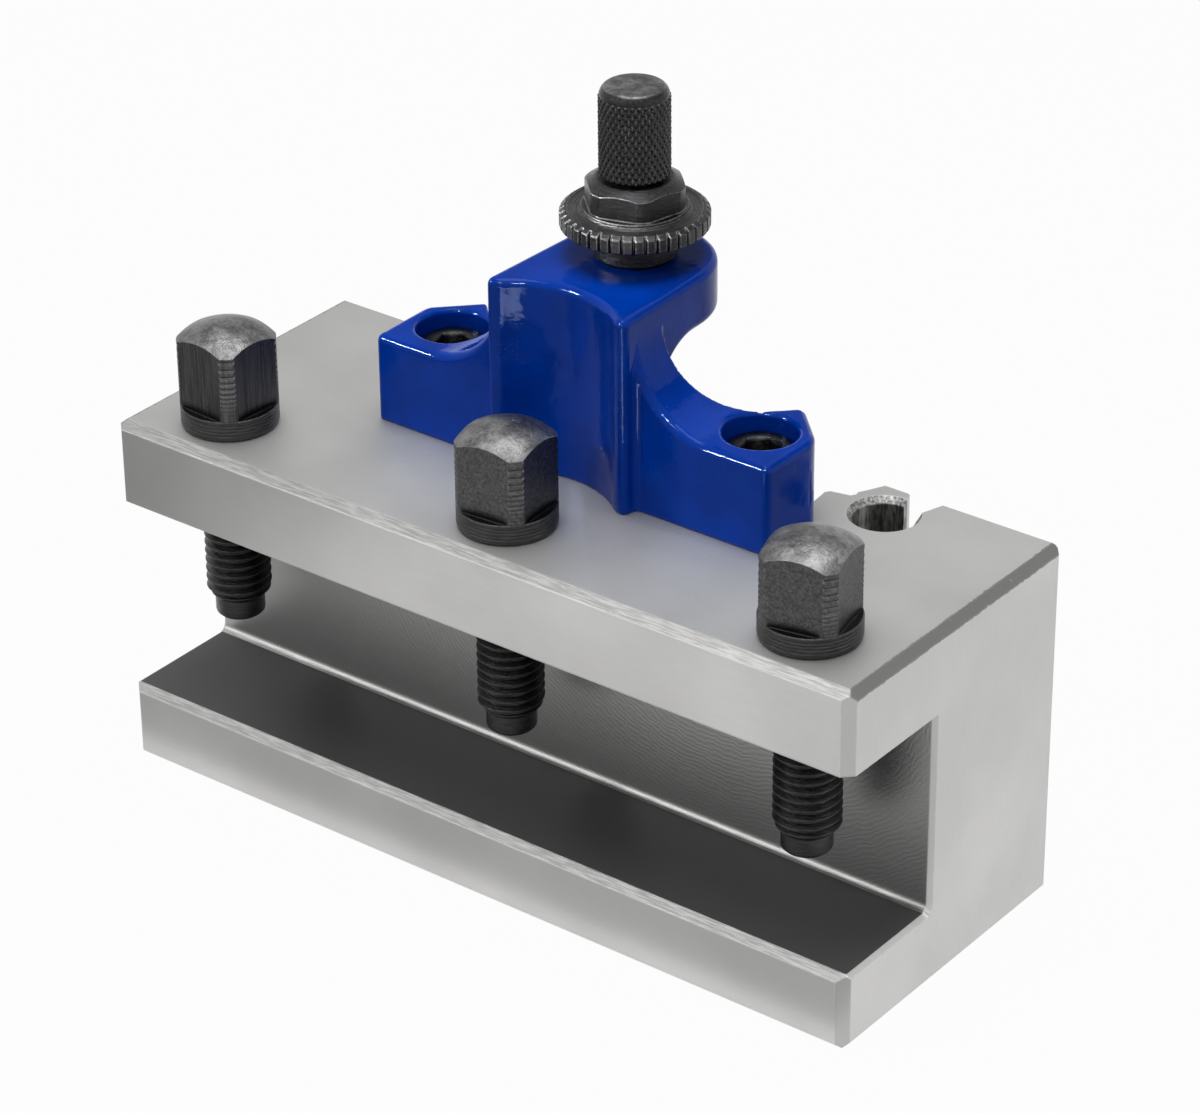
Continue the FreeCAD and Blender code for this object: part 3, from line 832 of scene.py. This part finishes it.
def knurled_stem(settings):
    """The stem: its radius dips along two families of helical grooves that cross into diamonds."""
    top = STEM_HIGH[2]
    bottom = NUT_HIGH[2] + 0.3
    radius = (STEM_HIGH[0] - STEM_LOW[0]) / 2
    angles = np.linspace(0, 2 * math.pi, settings.knurl_starts * 16, endpoint=False)
    heights = np.linspace(bottom + 0.3, top - 1.5, 130)
    round_share = angles[None, :] / (2 * math.pi) * settings.knurl_starts
    climb = heights[:, None] * 0.61
    one = np.abs((round_share + climb) % 1 - 0.5) * 2
    other = np.abs((round_share - climb) % 1 - 0.5) * 2
    groove = 1 - np.clip(soft_min(one, other, 0.10) * 1.35, 0, 1)
    depth = settings.knurl_depth * 1000
    rows = [(4.2, bottom), (radius - 0.5, bottom), (radius - 0.3, bottom + 0.12)]
    rows += list(zip(radius - depth * groove, heights))
    rows += [(radius - 0.22, top - 1.46), (radius - 0.16, top - 1.35), (radius - 0.18, top - 1.15),
             (radius - 0.28, top - 0.85), (radius - 0.46, top - 0.52), (radius - 0.68, top - 0.24),
             (radius - 0.92, top - 0.07), (radius - 1.15, top), (3.0, top), (1.0, top - 0.03)]
    return capped_mesh(turned_grid(rows, angles, STEM_X, STEM_Y))


def height_thread(settings):
    """The threaded end under the stem, down to the chamfered tip that rests on the post."""
    tip = STEM_LOW[2]
    pitch = settings.pitch * 1000
    angles = np.linspace(0, 2 * math.pi, 96, endpoint=False)
    heights = np.arange(tip + 0.2, BRACKET_HIGH[2] - 6.0, pitch / 14)
    threads = thread_radius(angles, heights, pitch, 4.0, 3.25)
    cone = 3.0 + np.maximum(heights - tip, 0)[:, None]
    rows = [(0.5, tip), (2.6, tip), (3.0, tip + 0.1)] + list(zip(soft_min(threads, cone, 0.1), heights))
    rows += [(3.9, BRACKET_HIGH[2] - 5.9), (3.9, NUT_HIGH[2] + 0.3), (1.0, NUT_HIGH[2] + 0.3)]
    return capped_mesh(turned_grid(rows, angles, STEM_X, STEM_Y))


def lock_nut(settings):
    """The nut: rows from its bore out under the hub, round the notched flange and over the hexagon."""
    low, high = NUT_LOW[2], NUT_HIGH[2]
    flange = (NUT_HIGH[0] - NUT_LOW[0]) / 2
    under, over = low + 4.5, low + 7.5
    angles = np.linspace(0, 2 * math.pi, settings.notches * 16, endpoint=False)
    pitch = 2 * math.pi / settings.notches
    rest = np.abs((angles + pitch / 2) % pitch - pitch / 2) / (pitch * 0.16)
    notch = settings.notch_depth * 1000 * np.clip(1 - rest, 0, 1)
    across, corner, turn = 13.9, 7.5, 46.2
    bore, hub, top_radius, slope = 4.05, 6.4, 5.7, 1.15 / 1.8
    hexagon = soft_min(polygon_radius(angles, across, 6, math.radians(turn)), corner, 0.03)
    rim = high - (hexagon - top_radius) * slope
    rows = [(bore, low + 0.4), (bore + 0.35, low), (hub - 0.6, low), (hub - 0.5, low + 0.03),
            (hub - 0.1, low + 0.5), (hub, low + 0.7), (hub, under - 0.4), (hub + 0.1, under - 0.12),
            (hub + 0.4, under), (flange - 1.0, under), (flange - 0.75, under + 0.02),
            (flange - 0.15 - notch, under + 0.35), (flange - notch, under + 0.55),
            (flange - notch, over - 0.6), (flange - 0.12 - notch, over - 0.42),
            (flange - 0.62 - notch * 0.35, over - 0.05), (flange - 0.72, over), (flange - 1.1, over),
            (flange - 1.22, over - 0.12)]
    for radius in np.arange(flange - 1.3, 8.3, -0.07):
        rows.append((radius, over - 0.16 - 0.035 * math.cos(2 * math.pi * radius / 0.42)))
    rows += [(8.15, over - 0.05), (7.95, over + 0.15), (7.9, over + 0.50), (7.82, over + 0.58),
             (np.minimum(hexagon + 0.04, 7.7), over + 0.66), (hexagon, over + 0.74)]
    for share in (0.3, 0.6, 1.0):
        rows.append((hexagon, over + 0.74 + share * (rim - over - 0.74)))
    for share in (0.25, 0.5, 0.75):
        radius = hexagon * (1 - share) + (top_radius + 0.1) * share
        rows.append((radius, high - (radius - top_radius) * slope))
    rows += [(top_radius + 0.05, high - 0.05), (top_radius - 0.1, high), (bore + 0.45, high),
             (bore, high - 0.4), (bore, (low + high) / 2)]
    return ring_mesh(turned_grid(rows, angles, STEM_X, STEM_Y))


class HOLDER_OT_adjuster(bpy.types.Operator):
    """Turn the knurled height screw and its lock nut"""

    bl_idname = "holder.adjuster"
    bl_label = "Turn the height adjuster"

    def execute(self, context):
        settings = context.scene.holder_adjuster
        knurled = oxide_material("black_oxide_knurl", settings, (2500.0, 2500.0, 2500.0), 0.6,
                                 crown=(STEM_HIGH[2] - 1.2) / 1000)
        turned = oxide_material("black_oxide_nut", settings, (900.0, 900.0, 6000.0), 1.0)
        stem = put_mesh("height_screw_stem", *knurled_stem(settings), knurled, sharp_angle=60)
        thread = put_mesh("height_screw_thread", *height_thread(settings), turned, sharp_angle=60)
        nut = put_mesh("lock_nut_turned", *lock_nut(settings), turned, sharp_angle=18)
        for piece in (stem, thread):
            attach(piece, "height_adjuster")
            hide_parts("height_screw")
        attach(nut, "locking_nut")
        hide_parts("lock_nut")
        return {"FINISHED"}


def area_lamp(name, place, size, power):
    """A rectangular lamp that points at the middle of the object."""
    data = bpy.data.lights.new(name, "AREA")
    data.shape = "RECTANGLE"
    data.size, data.size_y = size
    data.energy = power
    lamp = bpy.data.objects.new(name, data)
    lamp.location = place
    lamp.rotation_euler = (Vector(MIDDLE) - Vector(place)).to_track_quat("-Z", "Y").to_euler()
    bpy.context.scene.collection.objects.link(lamp)


def glossy_card(name, place, size, value, lies=False):
    """A flat card, evenly bright, that only reflections see. It lies face up or faces the object's middle."""
    mesh = bpy.data.meshes.new(name)
    half_x, half_y = size[0] / 2, size[1] / 2
    corners = [(-half_x, -half_y, 0), (half_x, -half_y, 0), (half_x, half_y, 0), (-half_x, half_y, 0)]
    aim = (place[0], place[1], 1.0) if lies else MIDDLE
    turn = (Vector(aim) - Vector(place)).to_track_quat("Z", "Y").to_matrix().to_4x4()
    put = Matrix.Translation(place) @ turn
    mesh.from_pydata([put @ Vector(corner) for corner in corners], [], [(0, 1, 2, 3)])
    card = bpy.data.objects.new(name, mesh)
    bpy.context.scene.collection.objects.link(card)
    material, nodes, shader, _ = new_material(name)
    nodes.feed(shader, Base_Color=(0.0, 0.0, 0.0, 1.0), Specular_IOR_Level=0.0,
               Emission_Color=(1.0, 1.0, 1.0, 1.0), Emission_Strength=value)
    mesh.materials.append(material)
    card.visible_camera = False
    card.visible_shadow = False
    card.visible_diffuse = False
    return card


def seen_share(nodes):
    """1 for rays from the camera, from gloss and through glass, which see the plain white background."""
    path = nodes.add("ShaderNodeLightPath").outputs
    share = nodes.math("MAXIMUM", path["Is Camera Ray"], path["Is Glossy Ray"])
    return nodes.math("MAXIMUM", share, path["Is Transmission Ray"])


def white_world(strength):
    """A world that looks white and lights the object softly."""
    world = bpy.data.worlds.new("studio")
    world.use_nodes = True
    world.node_tree.nodes.clear()
    nodes = Nodes(world.node_tree)
    seen = seen_share(nodes)
    power = nodes.math("ADD", nodes.times(seen, 1.0 - strength), strength)
    background = nodes.add("ShaderNodeBackground", Color=(1.0, 1.0, 1.0, 1.0), Strength=power)
    nodes.add("ShaderNodeOutputWorld", Surface=background.outputs[0])
    bpy.context.scene.world = world


def white_floor():
    """A large floor under the object that looks white and keeps a soft shadow."""
    size, under = 3.0, -0.0002
    mesh = bpy.data.meshes.new("floor")
    corners = [(-size, -size, under), (size, -size, under), (size, size, under), (-size, size, under)]
    mesh.from_pydata(corners, [], [(0, 1, 2, 3)])
    floor = bpy.data.objects.new("floor", mesh)
    bpy.context.scene.collection.objects.link(floor)
    material, nodes, shader, _ = new_material("white_floor")
    nodes.feed(shader, Base_Color=(0.32, 0.32, 0.32, 1.0), Roughness=0.9)
    glow = nodes.add("ShaderNodeEmission", Color=(1.0, 1.0, 1.0, 1.0), Strength=1.0)
    share = nodes.times(seen_share(nodes), 0.97)
    mix = nodes.add("ShaderNodeMixShader", Fac=share, i1=shader.outputs[0], i2=glow.outputs[0])
    out = next(node for node in nodes.tree.nodes if node.type == "OUTPUT_MATERIAL")
    nodes.feed(out, Surface=mix.outputs[0])
    mesh.materials.append(material)


def photo_camera():
    """The camera at the photograph's viewing angle, worked out from the block's corners. The focal length and
    the target's place in the photograph are in its pixels."""
    turn, tilt, roll = math.radians(37.843), math.radians(29.269), math.radians(-0.581)
    distance, focal, sensor = 0.669195, 4459.75, 36.0
    target = Vector((0.0, 0.00075, 0.027))
    target_x, target_y = 579.798, 665.701
    back = Vector((math.sin(turn) * math.cos(tilt), -math.cos(turn) * math.cos(tilt), math.sin(tilt)))
    right = (-back).cross(Vector((0, 0, 1))).normalized()
    up = right.cross(-back)
    level = right * math.cos(roll) + up * math.sin(roll)
    plumb = up * math.cos(roll) - right * math.sin(roll)
    place = target + back * distance - level * ((target_x - PHOTO_WIDTH / 2) / focal * distance)
    place += plumb * ((target_y - PHOTO_HEIGHT / 2) / focal * distance)
    data = bpy.data.cameras.new("camera")
    data.sensor_fit = "HORIZONTAL"
    data.sensor_width = sensor
    data.lens = focal * sensor / PHOTO_WIDTH
    data.clip_start, data.clip_end = 0.05, 20.0
    camera = bpy.data.objects.new("camera", data)
    camera.matrix_world = Matrix.Translation(place) @ Matrix((level, plumb, back)).transposed().to_4x4()
    bpy.context.scene.collection.objects.link(camera)
    bpy.context.scene.camera = camera


class HOLDER_OT_stage(bpy.types.Operator):
    """Set up the camera, the white studio and its lamps"""

    bl_idname = "holder.stage"
    bl_label = "Set up the studio"

    def execute(self, context):
        settings = context.scene.holder_stage
        photo_camera()
        white_world(settings.fill)
        white_floor()
        area_lamp("key", (0.0, -0.05, 0.80), (0.42, 0.42), settings.key)
        area_lamp("front_left", (-0.52, -0.66, 0.56), (0.02, 0.10), settings.key * 0.34)
        area_lamp("front", (0.12, -0.63, 0.75), (0.03, 0.05), settings.key * 0.16)
        area_lamp("right", (0.86, 0.16, 0.42), (0.03, 0.12), settings.key * 0.12)
        glossy_card("card_behind", (-0.45, 0.58, 0.46), (0.60, 0.34), 0.35)
        glossy_card("card_end", (0.50, 0.70, 0.60), (0.40, 0.34), 0.12)
        glossy_card("card_floor", (-0.215, -0.17, 0.001), (0.24, 0.26), 0.30, lies=True)
        # Painted shade: a darker card just in front of the block stands in for the floor's contact shadow in
        # reflections
        glossy_card("card_near", (0.0, -0.048, 0.0006), (0.20, 0.034), 0.50, lies=True)
        glints = (glossy_card("glint_left", (-0.49, -0.64, 0.50), (0.30, 0.11), 260.0),
                  glossy_card("glint_front", (0.24, -0.64, 0.66), (0.16, 0.12), 150.0),
                  glossy_card("glint_floor", (0.075, -0.20, 0.001), (0.05, 0.16), 12.0, lies=True))
        shiny = bpy.data.collections.new("shiny_pieces")
        for name in ("bracket_casting", "lock_nut_turned"):
            shiny.objects.link(bpy.data.objects[name])
        for card in glints:
            card.light_linking.receiver_collection = shiny
        context.scene.view_settings.view_transform = "Standard"
        return {"FINISHED"}


class HOLDER_PT_panel(bpy.types.Panel):
    """Lists the operators and their settings"""

    bl_idname = "HOLDER_PT_panel"
    bl_label = "Tool Holder"
    bl_space_type = "VIEW_3D"
    bl_region_type = "UI"
    bl_category = "Tool Holder"

    def draw(self, context):
        for operator, group in STEPS:
            column = self.layout.column(align=True)
            column.operator(operator)
            settings = getattr(context.scene, group)
            for name in settings.bl_rna.properties.keys():
                if name not in ("rna_type", "name"):
                    column.prop(settings, name)


STEPS = (
    ("holder.block", "holder_block"),
    ("holder.bracket", "holder_bracket"),
    ("holder.clamps", "holder_clamps"),
    ("holder.caps", "holder_adjuster"),
    ("holder.adjuster", "holder_adjuster"),
    ("holder.stage", "holder_stage"),
)
CLASSES = tuple(SETTINGS.values()) + (HOLDER_OT_block, HOLDER_OT_bracket, HOLDER_OT_clamps, HOLDER_OT_caps,
                                      HOLDER_OT_adjuster, HOLDER_OT_stage, HOLDER_PT_panel)


def register():
    for item in CLASSES:
        bpy.utils.register_class(item)
    for name, group in SETTINGS.items():
        setattr(bpy.types.Scene, name, bpy.props.PointerProperty(type=group))


def unregister():
    for name in SETTINGS:
        delattr(bpy.types.Scene, name)
    for item in reversed(CLASSES):
        bpy.utils.unregister_class(item)


def main():
    register()
    bpy.ops.holder.block()
    bpy.ops.holder.bracket()
    bpy.ops.holder.clamps()
    bpy.ops.holder.caps()
    bpy.ops.holder.adjuster()
    bpy.ops.holder.stage()


if __name__ == "__main__":
    main()
